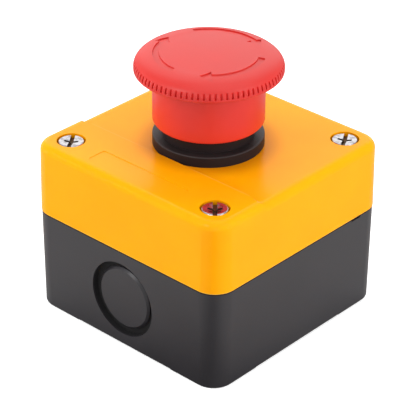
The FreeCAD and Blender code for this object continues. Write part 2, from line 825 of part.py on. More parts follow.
def make_terminal_screw(side, end):
    head_top = terminal_z - clamp_gap - clamp_t
    head_low = head_top - terminal_head_h
    shank = post(terminal_screw_r, (head_low + head_top) / 2, head_top + terminal_screw_len)
    shape = joined(post(terminal_head_r, head_low, head_top), shank)
    half = slot_w / 2
    slot_top = head_low + terminal_head_h / 2
    slot = block(-terminal_head_r, terminal_head_r, -half, half, head_low - beyond, slot_top)
    return at(shape.cut(slot), side * block_x, end * terminal_y)


def make_clamp(side, end):
    low = terminal_z - clamp_gap - clamp_t
    plate = block(-clamp_w / 2, clamp_w / 2, -clamp_w / 2, clamp_w / 2, low, low + clamp_t)
    hole = post(terminal_screw_r + slide_clear, low - beyond, low + clamp_t + beyond)
    return at(plate.cut(hole), side * block_x, end * terminal_y)


def make_contact_spring(kind, side):
    low = bridge_level(kind)
    span = (window_bottom, low) if kind == "nc" else (low + strip_t, window_top)
    return at(coil(contact_coil_r, contact_wire, span[0], span[1], contact_turns), side * block_x)


def make_plunger_spring(side):
    foot = block_bottom + block_wall
    return at(coil(plunger_coil_r, plunger_wire, foot, cage_bottom, plunger_turns), side * block_x)


os.makedirs("parts", exist_ok=True)
save("base_box", make_base())
save("lid", make_lid())
save("lid_gasket", make_gasket())
save("lid_screws", *[make_lid_screw(x, y, sy, slot_turns[(sx, sy)]) for x, y, sx, sy in screw_places()])
save("screw_inserts", *[make_insert(x, y) for x, y, sx, sy in screw_places()])
save("operator_collar", make_collar())
save("collar_seal", make_collar_seal())
save("spindle_seal", make_spindle_seal())
save("ring_nut", make_ring_nut())
save("mushroom_head", make_head())
save("head_spindle", make_spindle())
save("cross_pin", make_cross_pin())
save("latch_slider", make_slider())
save("latch_ring", make_latch_ring())
save("return_spring", coil(return_coil_r, return_wire, web_top, flange_z, return_turns))
save("twist_spring", coil(twist_coil_r, twist_wire, skirt_bottom, flange_z, twist_turns))
save("contact_carrier", make_carrier())
save("carrier_screws", make_grub(-1), make_grub(1))
for kind, side in (("nc", -1), ("no", 1)):
    save(kind + "_block_case", make_case(kind, side))
    save(kind + "_block_cover", make_cover(side))
    save(kind + "_plunger", make_plunger(side))
    save(kind + "_contact_bridge", make_bridge(kind, side))
    save(kind + "_contact_spring", make_contact_spring(kind, side))
    save(kind + "_plunger_spring", make_plunger_spring(side))
    save(kind + "_fixed_contacts", *[make_fixed_contact(kind, side, end) for end in (-1, 1)])
    save(kind + "_terminal_screws", *[make_terminal_screw(side, end) for end in (-1, 1)])
    save(kind + "_wire_clamps", *[make_clamp(side, end) for end in (-1, 1)])
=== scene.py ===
import json
import math

import bmesh
import bpy
import numpy as np
from mathutils import Matrix, Vector


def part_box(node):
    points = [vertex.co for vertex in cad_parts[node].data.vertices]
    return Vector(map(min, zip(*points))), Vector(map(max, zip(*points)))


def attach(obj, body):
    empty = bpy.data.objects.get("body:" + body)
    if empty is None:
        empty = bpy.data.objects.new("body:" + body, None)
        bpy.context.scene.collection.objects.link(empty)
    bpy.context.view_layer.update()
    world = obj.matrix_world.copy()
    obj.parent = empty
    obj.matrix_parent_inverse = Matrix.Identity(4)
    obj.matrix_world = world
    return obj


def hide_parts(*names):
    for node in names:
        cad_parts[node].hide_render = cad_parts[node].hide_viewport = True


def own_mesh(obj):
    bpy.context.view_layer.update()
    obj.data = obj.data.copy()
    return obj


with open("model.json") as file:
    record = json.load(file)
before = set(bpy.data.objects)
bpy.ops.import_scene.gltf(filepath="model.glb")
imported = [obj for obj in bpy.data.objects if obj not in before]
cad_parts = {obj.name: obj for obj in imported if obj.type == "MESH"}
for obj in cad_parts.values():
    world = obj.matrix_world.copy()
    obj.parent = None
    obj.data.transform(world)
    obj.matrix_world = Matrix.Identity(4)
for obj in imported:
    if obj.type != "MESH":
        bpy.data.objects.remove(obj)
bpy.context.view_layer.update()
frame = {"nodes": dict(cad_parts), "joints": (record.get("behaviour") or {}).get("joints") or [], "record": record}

# Looks of an emergency stop station. Metres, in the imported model's own frame: Z is up along the push.

mm = 0.001
full_turn = 2 * math.pi
quarter_turn = math.pi / 2
side_to_side = np.array([-1, -0.5, 0, 0.5, 1])
level_slack = 0.05 * mm     # a point this near to a level is on it

# Mushroom head
head_low, head_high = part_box("mushroom_head")
skirt_bottom = head_low.z
apex_z = head_high.z
head_r = head_high.x
skirt_r = 15.05 * mm
skirt_round = 0.8 * mm
skirt_inner_r = 13.25 * mm
skirt_edge = 0.25 * mm      # bevel inside the skirt's foot
rim_bottom = skirt_bottom + 14.6 * mm
rim_round = 0.4 * mm
rim_land = 0.8 * mm
rim_top = rim_bottom + rim_round + rim_land
rim_under_r = 17.5 * mm     # a ring on the rim's flat underside
rim_fillet = 0.35 * mm      # between that underside and the skirt
shoulder_w = 7.5 * mm
shoulder_h = 3.8 * mm
shoulder_r = head_r - shoulder_w
crown_h = 0.5 * mm
hub_r = 5.0 * mm
hub_flange_r = 10.3 * mm
hub_flange_t = 1.2 * mm
cavity_roof = apex_z - 3.2 * mm
hub_flange_z = cavity_roof - 8.4 * mm
socket_r = 3.05 * mm
socket_top = cavity_roof - 1.2 * mm

# Teeth on its rim
tooth_count = 84
tooth_crown = 0.09 * mm     # teeth fall away by this at their sides
tooth_crown_end = 1.5       # as far from a notch's middle as this, in half-widths of the notch
notch_half = 0.24 * mm
notch_depth = 0.6 * mm
notch_low = rim_bottom + 0.85 * mm
notch_high = notch_low + 1.65 * mm
notch_edge = 0.06 * mm
notch_wall = 0.08           # half the run of a notch's side walls, in half-widths

# Sunk turn arrows on its top
arrow_count = 3
arrow_r = 14.05 * mm
arrow_half = 0.85 * mm
arrow_tip = 0.14 * mm
barb_half = 2.3 * mm
arrow_depth = 0.35 * mm
arrow_wall = 0.05 * mm      # half the run of their side walls
arrow_tail = 30.0           # degrees, as are the next four
arrow_span = 87.0
barb_span = 12.0
arrow_end = 0.15            # half the run of the walls at the tail and behind the barbs
arrow_rise = 0.4            # run of the wall at the tip

# Rings of points on the head
crown_rings = np.array([0, 1.5, 3.5, 6, 8.5, 10.2, 11.2]) * mm
shoulder_rings = np.array([16.6, 17.0, 17.4, 17.8, 18.15, 18.5, 18.8, 19.05]) * mm
lead_in_shares = np.array([0.4, 0.8])
lead_out_shares = np.array([0.2, 0.6])
rings_over_notch = np.array([0.4, 0.2, 0.06]) * mm
notch_rings = 7
skirt_shares = np.linspace(0.2, 0.8, 4)
round_rings = 5
foot_rings = 8
angle_places = 4            # decimals of a degree that tell two columns apart

# Seam, and cable knockouts in the front and back walls
seam_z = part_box("base_box")[1].z
seam_shade_z = seam_z - 0.22 * mm
# heights over which the lid's bevel at the seam takes a pale painted highlight
seam_highlight_low = seam_z + 0.24 * mm
seam_highlight_high = seam_z + 0.42 * mm
knock_z = 14.8 * mm
knock_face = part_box("base_box")[1].y - 0.1 * mm
groove_in_low = 9.0 * mm    # radii between which the painted shade in the ring groove sets in
groove_in_high = 9.3 * mm
groove_out = 11.05 * mm
groove_top = knock_face - 0.5 * mm
groove_floor = knock_face - 2.1 * mm

# Lid, with a raised strip along its front
lid_top = seam_z + 20.1 * mm
strip_rise = 0.7 * mm
strip_ramp = 1.5 * mm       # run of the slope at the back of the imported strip
strip_foot = -15.25 * mm    # y where that slope meets the lid's main top
slope_slack = 0.002 * mm    # a point this near to the slope is on it
rise_slack = 0.01 * mm      # unless it is higher than this above the strip's top
steep_share = 0.93          # share of the slope's run that is taken up beside the collar
steep_half = 27.0 * mm      # in full as far as this from the middle
steep_end = 34.0 * mm       # and not at all from here
steep_cut_end = 31.2 * mm   # last cut across the strip's flat top
steep_cuts = 4
strip_highlight = 0.18            # how strongly the strip's back edge is painted pale, a painted highlight
strip_highlight_low = strip_foot - 0.6 * mm
strip_highlight_high = strip_foot - 0.25 * mm
collar_shade_in = 15.0 * mm     # radii between which the shade round the collar's foot fades out
collar_shade_out = 21.5 * mm

# Collar
flange_top = seam_z + 23.1 * mm
flange_round = 0.3 * mm

# Lid screws
screw_low, screw_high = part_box("lid_screws")
screw_head_r = 3.55 * mm
screw_head_h = 2.2 * mm
screw_dome = 0.12 * mm
screw_dish = 0.65 * mm      # lands fall by this towards the recess
screw_ridge_r = 2.65 * mm
screw_edge = 0.42 * mm
screw_r = 1.95 * mm
screw_tip_r = 0.55 * screw_r
screw_at = screw_high.x - screw_head_r
thread_pitch = 0.8 * mm
thread_depth = 0.3 * mm
thread_rungs = 160
slot_half = 0.575 * mm
slot_depth = 1.2 * mm
cross_half = 0.425 * mm
cross_reach = 1.9 * mm
cross_end = 0.04 * mm       # run of the wall at the end of a cross arm
cross_rise = 0.25           # share of the depth that a cross arm loses on its way out
arm_clear = 1.02            # first ring, over the radius where the arms' edges meet
arm_rings = np.linspace(0.85, 1.86, 5) * mm
land_rings = np.linspace(2.1, 2.8, 4) * mm
edge_rings = 7
land_shares = np.linspace(0, 1, 6)
recess_low = 0.62 * mm      # depths between which the recess's darker brown sets in
recess_high = 0.9 * mm
recess_floor = slot_depth + 0.4 * mm
slot_turns = {(-1, -1): -55.0, (1, -1): -48.0, (1, 1): -60.0, (-1, 1): 15.0}

# Springs
coil_steps = 40             # per turn
flat_turns = 0.6            # at each end
wire_sides = 12

# Welding and shading of meshes; creases are in degrees
weld_reach = 1e-7           # points nearer than this are one
speck = 1e-8                # edges shorter than this go
moulded_crease = 32
head_crease = 38
screw_crease = 40
coil_crease = 60


# Meshes from grids of points

def closed_mesh(name, grids):
    """One closed mesh from grids of points (rows, columns, xyz).

    Columns join round, and the points of a first or last row all lie in one place.
    """
    points = []
    quads = []
    first = 0
    for grid in grids:
        rows, columns = grid.shape[:2]
        row, column = np.meshgrid(np.arange(rows - 1), np.arange(columns), indexing="ij")
        after = (column + 1) % columns
        here = row * columns
        below = here + columns
        corners = [here + column, below + column, below + after, here + after]
        quads.append(first + np.stack(corners, -1).reshape(-1, 4))
        points.append(grid.reshape(-1, 3))
        first += rows * columns
    mesh = bpy.data.meshes.new(name)
    mesh.from_pydata(np.concatenate(points).tolist(), [], np.concatenate(quads).tolist())
    return mesh


def smoothed(mesh, crease):
    """Welds doubled points, turns the faces outwards and shades round all but the creases, in degrees."""
    weld = bmesh.new()
    weld.from_mesh(mesh)
    bmesh.ops.remove_doubles(weld, verts=weld.verts, dist=weld_reach)
    bmesh.ops.dissolve_degenerate(weld, edges=weld.edges, dist=speck)
    bmesh.ops.recalc_face_normals(weld, faces=weld.faces)
    weld.to_mesh(mesh)
    weld.free()
    mesh.shade_smooth()
    mesh.set_sharp_from_angle(angle=math.radians(crease))
    return mesh


def piece(name, mesh, body, slot, nodes=()):
    """Puts a mesh into the scene as a piece that rides on a body and stands for the named nodes."""
    made = bpy.data.objects.new(name, mesh)
    bpy.context.scene.collection.objects.link(made)
    mesh.materials.clear()
    mesh.materials.append(finishes[slot])
    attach(made, body)
    if nodes:
        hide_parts(*nodes)
    return made


def steep_step(mesh):
    """Stands the slope at the back of the lid's strip nearly upright beside the collar.

    A point on the slope moves back towards the slope's foot by a share of its distance from it. The share is
    even near the middle and falls in a smooth step towards the strip's ends.
    """
    cut = bmesh.new()
    cut.from_mesh(mesh)
    ends = np.linspace(steep_half, steep_cut_end, steep_cuts)
    for x in np.concatenate([-ends, ends]):
        everything = cut.verts[:] + cut.edges[:] + cut.faces[:]
        bmesh.ops.bisect_plane(cut, geom=everything, plane_co=(x, 0, 0), plane_no=(1, 0, 0))
    cut.to_mesh(mesh)
    cut.free()
    flat = np.empty(3 * len(mesh.vertices), np.float32)
    mesh.vertices.foreach_get("co", flat)
    points = flat.reshape(-1, 3)
    forward = strip_foot - points[:, 1]
    height = points[:, 2] - lid_top
    off_slope = np.abs(forward - height * strip_ramp / strip_rise)
    on_slope = (off_slope < slope_slack) & (height > 0) & (height < strip_rise + rise_slack)
    inward = np.clip((steep_end - np.abs(points[:, 0])) / (steep_end - steep_half), 0, 1)
    share = steep_share * inward ** 2 * (3 - 2 * inward)
    points[:, 1] += np.where(on_slope, share * forward, 0)
    mesh.vertices.foreach_set("co", points.ravel())


def moulding(node, name, body, slot, reshape=None):
    """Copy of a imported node, reshaped if asked and welded, with smooth rounds and flats kept flat."""
    mesh = frame["nodes"][node].data.copy()
    mesh.name = name
    for spare in ("custom_normal", "sharp_face", "sharp_edge"):
        if spare in mesh.attributes:
            mesh.attributes.remove(mesh.attributes[spare])
    if reshape:
        reshape(mesh)
    made = piece(name, smoothed(mesh, moulded_crease), body, slot, [node])
    flats = made.modifiers.new("even_flats", "WEIGHTED_NORMAL")
    flats.keep_sharp = True


# Finishes

class Field:
    """A value, colour or vector in a finish's nodes; arithmetic on values adds Math nodes."""

    def __init__(self, tree, socket):
        self.tree = tree
        self.socket = socket

    def node(self, kind, settings=None, sockets=None, out=0):
        """Adds a node of any kind: its settings first, then numbers, colours or links for its sockets."""
        made = self.tree.nodes.new(kind)
        for key, value in (settings or {}).items():
            setattr(made, key, value)
        for key, value in (sockets or {}).items():
            self.give(made.inputs[key], value)
        return Field(self.tree, made.outputs[out])

    def give(self, socket, value):
        """Links a field to a socket, or sets the socket to a number or colour."""
        if isinstance(value, Field):
            self.tree.links.new(value.socket, socket)
        else:
            socket.default_value = value

    def maths(self, operation, first, second):
        """Adds a Math node on two values."""
        return self.node("ShaderNodeMath", {"operation": operation}, {0: first, 1: second})

    def __add__(self, other):
        return self.maths("ADD", self, other)

    def __radd__(self, other):
        return self.maths("ADD", other, self)

    def __sub__(self, other):
        return self.maths("SUBTRACT", self, other)

    def __rsub__(self, other):
        return self.maths("SUBTRACT", other, self)

    def __mul__(self, other):
        return self.maths("MULTIPLY", self, other)

    def __rmul__(self, other):
        return self.maths("MULTIPLY", other, self)

    def __lt__(self, other):
        return self.maths("LESS_THAN", self, other)

    def __gt__(self, other):
        return self.maths("GREATER_THAN", self, other)

    def part(self, axis):
        """One of these coordinates by its letter."""
        return self.node("ShaderNodeSeparateXYZ", None, {0: self}, "xyz".index(axis))

    def stretched(self, x, y, z):
        """These coordinates multiplied along each axis."""
        return self.node("ShaderNodeVectorMath", {"operation": "MULTIPLY"}, {0: self, 1: (x, y, z)})

    def distance(self, x, y, z):
        """Distance of these coordinates from a point."""
        return self.node("ShaderNodeVectorMath", {"operation": "DISTANCE"}, {0: self, 1: (x, y, z)}, 1)

    def step(self, low, high):
        """Smooth step from 0 at low to 1 at high."""
        return self.node("ShaderNodeMapRange", {"interpolation_type": "SMOOTHSTEP"},
                         {"Value": self, "From Min": low, "From Max": high})

    def blend(self, first, second):
        """Colour that goes from first to second as this value goes from 0 to 1."""
        # A Mix node's colours are its sockets 6 and 7, and output 2 is their mix.
        return self.node("ShaderNodeMix", {"data_type": "RGBA"}, {0: self, 6: first, 7: second}, 2)

    def clouds(self, size, detail):
        """Noise from 0 to 1 over these coordinates, with features about the given size across."""
        return self.node("ShaderNodeTexNoise", None, {"Vector": self, "Scale": 1 / size, "Detail": detail})

    def relief(self, height, strength):
        """Surface normal raised by this field times a height in metres."""
        return self.node("ShaderNodeBump", None, {"Height": self, "Distance": height, "Strength": strength})


def start(name):
    """New material, with its shader and its surface coordinates."""
    material = bpy.data.materials.new(name)
    material.use_nodes = True
    tree = material.node_tree
    shader = tree.nodes["Principled BSDF"]
    coordinates = tree.nodes.new("ShaderNodeTexCoord")
    return material, shader, Field(tree, coordinates.outputs["Object"])


def shade(colour, factor=1.0):
    """Colour with its channels multiplied, and full alpha."""
    return tuple(min(1.0, channel * factor) for channel in colour) + (1.0,)


def base_painted_shade(place):
    """1 in the ring grooves of the cable knockouts and under the lid's edge, where shade is painted dark, 0 on the
    walls.
    """
    radius = place.stretched(1, 0, 1).distance(0, 0, knock_z)
    outward = place.stretched(0, 1, 0).distance(0, 0, 0)
    ring = radius.step(groove_in_low, groove_in_high) * (radius < groove_out)
    groove = ring * (outward < groove_top) * (outward > groove_floor)
    return groove + (place.part("z") > seam_shade_z)


def lid_painted_highlights(place):
    """1 on the lid's bevel at the seam and a little on the strip's back edge, where a pale highlight is painted,
    and 0 elsewhere.
    """
    height = place.part("z")
    bevel = 1 - height.step(seam_highlight_low, seam_highlight_high)
    back_edge = place.part("y").step(strip_highlight_low, strip_highlight_high)
    return bevel + strip_highlight * back_edge * (height > lid_top + strip_rise - level_slack)


def collar_shade(place):
    """1 on the lid round the collar's foot, where the photograph is darker, fading to 0 further out."""
    return 1 - place.stretched(1, 1, 0).distance(0, 0, 0).step(collar_shade_in, collar_shade_out)


def rim_notch_painted_light(place):
    """1 in the notches of the head's rim, where a brighter, deeper red is painted in as painted bounce light, 0 on
    its teeth.
    """
    pitch = full_turn / tooth_count
    angle = place.maths("ARCTAN2", place.part("y"), place.part("x")) + full_turn
    off = place.maths("PINGPONG", angle, pitch / 2)
    height = place.part("z")
    return (off < notch_half / head_r) * (height > notch_low) * (height < notch_high)


def flange_face(place):
    """1 on the top of the collar's flange and on its rounded edge, 0 on its wall."""
    height = place.part("z")
    return (height > flange_top - flange_round) * (height < flange_top + level_slack)


def screw_recess(place):
    """1 on the floors and walls of the lid screws' recesses, 0 on their lands; the back pair sits lower."""
    below = screw_high.z - strip_rise * (place.part("y") > 0) - place.part("z")
    return below.step(recess_low, recess_high) * (below < recess_floor)


def moulded(name, colour, rough, gloss=0.5, grain=0.16 * mm, grain_height=0.006 * mm, mottle=0.04, glow=0.0,
            marks=(), polished=None):
    """Moulded plastic: slow flow clouding, fine eroded grain, faint rub marks, and marked or polished places.

    Each mark is a mask, the colour that it gives and how much duller it is.
    """
    flow_size = 17 * mm
    rub_size = 0.5 * mm
    rub_stretch = 0.12
    flow_sheen = 0.10
    fine_sheen = 0.05
    grain_strength = 0.6
    coat_rough = 0.55
    glow_reach = 0.8 * mm
    material, shader, place = start(name)
    flow = place.clouds(flow_size, detail=3.0)
    rubs = place.stretched(1, rub_stretch, 1).clouds(rub_size, detail=3.0).step(low=0.62, high=0.8)
    fine = place.clouds(grain, detail=2.0)
    tint = flow.step(low=0.3, high=0.7).blend(shade(colour, 1 - mottle), shade(colour, 1 + mottle))
    sheen = rough + flow_sheen * (flow - 0.5) + fine_sheen * fine - fine_sheen * rubs
    for masked, mark_colour, dulling in marks:
        mark = masked(place)
        tint = mark.blend(tint, shade(mark_colour))
        sheen = sheen + dulling * mark
    place.give(shader.inputs["Base Color"], tint)
    place.give(shader.inputs["Roughness"], sheen)
    place.give(shader.inputs["Normal"], fine.relief(grain_height, grain_strength))
    shader.inputs["Specular IOR Level"].default_value = gloss
    if polished:
        place.give(shader.inputs["Coat Weight"], polished(place))
        shader.inputs["Coat Roughness"].default_value = coat_rough
    if glow:
        shader.inputs["Subsurface Weight"].default_value = glow
        shader.inputs["Subsurface Radius"].default_value = colour
        shader.inputs["Subsurface Scale"].default_value = glow_reach
    return material


def metal(name, colour, rough, mark=0.12 * mm, mark_height=0.002 * mm, stain=0.78, recess_mask=None):
    """Bright metal with fine tool marks, small stains, uneven polish and a darker brown in its recesses."""
    mark_stretch = 0.25
    mark_sheen = 0.06
    mark_strength = 0.5
    stain_size = 1.2 * mm
    stain_sheen = 0.12
    recess_colour = (0.16, 0.11, 0.075)
    recess_sheen = 0.3
    material, shader, place = start(name)
    marks = place.stretched(1, 1, mark_stretch).clouds(mark, detail=3.0)
    stains = place.clouds(stain_size, detail=4.0).step(low=0.42, high=0.7)
    tint = stains.blend(shade(colour), shade(colour, stain))
    sheen = rough + stain_sheen * stains + mark_sheen * marks
    if recess_mask:
        recess_tone = recess_mask(place)
        tint = recess_tone.blend(tint, shade(recess_colour))
        sheen = sheen + recess_sheen * recess_tone
    place.give(shader.inputs["Base Color"], tint)
    place.give(shader.inputs["Roughness"], sheen)
    place.give(shader.inputs["Normal"], marks.relief(mark_height, mark_strength))
    shader.inputs["Metallic"].default_value = 1.0
    return material


def rubber(name, colour):
    """Dull rubber with a powdery bloom and a fine pebbled skin."""
    bloom_size = 4 * mm
    bloom_shade = 1.8
    bloom_sheen = 0.12
    rough = 0.75
    pebble_size = 0.1 * mm
    pebble_height = 0.004 * mm
    pebble_strength = 0.5
    material, shader, place = start(name)
    bloom = place.clouds(bloom_size, detail=4.0).step(low=0.4, high=0.8)
    pebbles = place.clouds(pebble_size, detail=1.0)
    place.give(shader.inputs["Base Color"], bloom.blend(shade(colour), shade(colour, bloom_shade)))
    place.give(shader.inputs["Roughness"], rough + bloom_sheen * bloom)
    place.give(shader.inputs["Normal"], pebbles.relief(pebble_height, pebble_strength))
    return material


finishes = {
    "base_black": moulded("base_black", (0.017, 0.0150, 0.018), rough=0.36, gloss=0.88, grain=0.22 * mm,
                          grain_height=0.008 * mm, mottle=0.10,
                          # painted shade: near black in the knockouts' ring grooves and under the lid's edge
                          marks=[(base_painted_shade, (0.003, 0.0025, 0.003), 0.5)]),
    "lid_yellow": moulded("lid_yellow", (0.90, 0.350, 0.001), rough=0.18, gloss=0.15, grain=0.2 * mm,
                          grain_height=0.004 * mm, mottle=0.02, glow=0.15,
                          # painted highlight: pale yellow on the lid's seam bevel and on the strip's back edge
                          marks=[(lid_painted_highlights, (0.98, 0.58, 0.14), 0.0),
                                 (collar_shade, (0.68, 0.225, 0.001), 0.0)]),
    # the head's notch mark is painted bounce light: a brighter, deeper red in the rim's notches
    "head_red": moulded("head_red", (0.565, 0.019, 0.014), rough=0.38, gloss=0.68, grain=0.15 * mm,
                        mottle=0.03, glow=0.10, marks=[(rim_notch_painted_light, (0.62, 0.008, 0.006), 0.3)]),
    "collar_black": moulded("collar_black", (0.017, 0.0115, 0.0115), rough=0.42, gloss=0.10, grain=0.18 * mm,
                            grain_height=0.004 * mm, mottle=0.08, polished=flange_face),
    "carrier_black": moulded("carrier_black", (0.02, 0.02, 0.02), rough=0.5),
    "nut_grey": moulded("nut_grey", (0.16, 0.16, 0.17), rough=0.5),
    "slider_white": moulded("slider_white", (0.78, 0.77, 0.72), rough=0.45),
    "nc_red": moulded("nc_red", (0.55, 0.04, 0.035), rough=0.48),
    "no_green": moulded("no_green", (0.04, 0.32, 0.10), rough=0.48),
    "seal_rubber": rubber("seal_rubber", (0.012, 0.012, 0.012)),
    "plated_steel": metal("plated_steel", (0.67, 0.65, 0.67), rough=0.14, mark=0.3 * mm,
                          mark_height=0.008 * mm, stain=0.55, recess_mask=screw_recess),
    "spring_steel": metal("spring_steel", (0.55, 0.56, 0.57), rough=0.25),
    "brass": metal("brass", (0.80, 0.58, 0.26), rough=0.24),
}


# Mushroom head

def turned_points(angles, radius, height):
    """Grid of points turned about Z: x and y are the radius times the angle's cosine and sine.

    Angles run over columns, and radius and height over rows, or over rows and columns.
    """
    radius = np.broadcast_to(radius, height.shape)
    x = radius * np.cos(angles)
    y = radius * np.sin(angles)
    return np.stack([x, y, height], -1)


def crown_height(r):
    """Height of the head's top at a radius: a shallow bowl upside down, then a quarter ellipse to the rim."""
    across = np.clip((r - shoulder_r) / shoulder_w, 0, 1)
    shoulder = rim_top + shoulder_h * np.sqrt(1 - across ** 2)
    bowl = apex_z - crown_h * (r / shoulder_r) ** 2
    return np.where(r < shoulder_r, bowl, shoulder)


def head_columns():
    """Angles round the head, in radians: eight for each tooth, and five at the walls across each arrow."""
    pitch = 360.0 / tooth_count
    wall = math.degrees(notch_half / head_r)
    half_tooth = np.array([(1 - notch_wall) * wall, (1 + notch_wall) * wall, tooth_crown_end * wall])
    per_tooth = np.concatenate([[0], half_tooth, [pitch / 2], pitch - half_tooth])
    teeth = (np.arange(tooth_count)[:, None] * pitch + per_tooth).ravel()
    neck = barb_span - arrow_span
    ends = np.array([arrow_end, -arrow_end, neck + arrow_end, neck - arrow_end, arrow_rise - arrow_span])
    arrows = arrow_tail + np.arange(arrow_count)[:, None] * 360 / arrow_count + ends
    degrees = np.concatenate([teeth, arrows.ravel() % 360])
    return np.radians(np.unique(np.round(degrees, angle_places)))


def arrow_edges(angles):
    """Half-width and depth of the sunk turn arrows at each angle, in straight runs between their ends."""
    share = 360 / arrow_count
    along = (np.degrees(angles) - arrow_tail + arrow_span) % share
    half = np.interp(along, [0, barb_span - arrow_end, barb_span + arrow_end, arrow_span, share],
                     [arrow_tip, barb_half, arrow_half, arrow_half, arrow_tip])
    depth = np.interp(along, [0, arrow_rise, arrow_span - arrow_end, arrow_span + arrow_end, share],
                      [0, arrow_depth, arrow_depth, 0, 0])
    return half, depth


def head_top(angles):
    """Crown from its middle to the rim: rings bend so that they follow both edges of the arrows."""
    half, depth = arrow_edges(angles)
    plain = crown_rings[:, None] + 0 * angles
    inner = arrow_r - half - arrow_wall
    outer = arrow_r + half + arrow_wall
    lead_in = plain[-1] + (inner - plain[-1]) * lead_in_shares[:, None]
    floor = arrow_r + side_to_side[:, None] * (half - arrow_wall)
    shoulder = shoulder_rings[:, None] + 0 * angles
    lead_out = outer + (shoulder[0] - outer) * lead_out_shares[:, None]
    radius = np.concatenate([plain, lead_in, inner[None], floor, outer[None], lead_out, shoulder])
    sunk = np.zeros(len(radius))
    first_floor = len(plain) + len(lead_in) + 1
    sunk[first_floor:first_floor + len(floor)] = 1
    return turned_points(angles, radius, crown_height(radius) - sunk[:, None] * depth)


def head_rim(angles):
    """Rim with its teeth: the shoulder's ellipse and an upright band, over a small round.

    Both are cut back in each notch, and a tooth falls away towards it by the square of the nearness.
    """
    pitch = full_turn / tooth_count
    off = np.abs((angles + pitch / 2) % pitch - pitch / 2)
    wall = notch_half / head_r
    in_notch = off < wall
    aside = (tooth_crown_end * wall - off) / ((tooth_crown_end - 1) * wall)
    fall = tooth_crown * np.clip(aside, 0, 1) ** 2
    above = notch_high + rings_over_notch
    inside = np.linspace(notch_high, notch_low + notch_edge, notch_rings)
    height = np.concatenate([above, inside, [notch_low]])
    across = np.sqrt(1 - np.clip((height - rim_top) / shoulder_h, 0, 1) ** 2)
    shoulder = (shoulder_r + shoulder_w * across)[:, None]
    notch = np.minimum(shoulder, head_r - notch_depth)
    cut = np.where(in_notch, shoulder - notch, np.minimum(fall, shoulder - notch))
    cut[:len(above)] = 0
    cut[-1] = 0
    lip = np.linspace(0, quarter_turn, round_rings)[:, None]
    lip_r = head_r - rim_round * (1 - np.cos(lip)) + 0 * angles
    lip_z = rim_bottom + rim_round * (1 - np.sin(lip)) + 0 * angles
    height = np.concatenate([height[:, None] + 0 * angles, lip_z])
    return turned_points(angles, np.concatenate([shoulder - cut, lip_r]), height)


def head_under(angles):
    """Underside as one turned profile of radius and height: straight skirt, rounded foot, hollow and hub."""
    foot = np.linspace(0, -quarter_turn, foot_rings)
    foot_r = skirt_r - skirt_round * (1 - np.cos(foot))
    foot_z = skirt_bottom + skirt_round * (1 + np.sin(foot))
    fillet = np.linspace(0, quarter_turn, round_rings)
    fillet_r = skirt_r + rim_fillet * (1 - np.sin(fillet))
    fillet_z = rim_bottom - rim_fillet * (1 - np.cos(fillet))
    wall_r = skirt_r + 0 * skirt_shares
    wall_z = fillet_z[-1] + (foot_z[0] - fillet_z[-1]) * skirt_shares
    hub_flange_top = hub_flange_z + hub_flange_t
    inside = [(skirt_inner_r + skirt_edge, skirt_bottom), (skirt_inner_r, skirt_bottom + skirt_edge),
              (skirt_inner_r, cavity_roof), (hub_r, cavity_roof), (hub_r, hub_flange_top),
              (hub_flange_r, hub_flange_top), (hub_flange_r, hub_flange_z), (hub_r, hub_flange_z),
              (hub_r, skirt_bottom), (socket_r, skirt_bottom), (socket_r, socket_top), (0, socket_top)]
    inner_r, inner_z = np.array(inside).T
    radius = np.concatenate([[rim_under_r], fillet_r, wall_r, foot_r, inner_r])[:, None]
    height = np.concatenate([[rim_bottom], fillet_z, wall_z, foot_z, inner_z])[:, None] + 0 * angles
    return turned_points(angles, radius, height)


def mushroom_head():
    """Head as one turned skin: its top, its rim and its underside."""
    angles = head_columns()
    grid = np.concatenate([head_top(angles), head_rim(angles), head_under(angles)])
    return smoothed(closed_mesh("head_moulding", [grid]), head_crease)


# Screws

def head_edge_r():
    """Radii across the screw head's rounded edge, spaced by the sines of even angles."""
    return screw_head_r - screw_edge * (1 - np.sin(np.linspace(0, quarter_turn, edge_rings)[1:]))


def edge_fall(radius):
    """Drop of a quarter round at the screw head's edge."""
    across = np.clip((radius - screw_head_r + screw_edge) / screw_edge, 0, 1)
    return screw_edge * (1 - np.sqrt(1 - across ** 2))


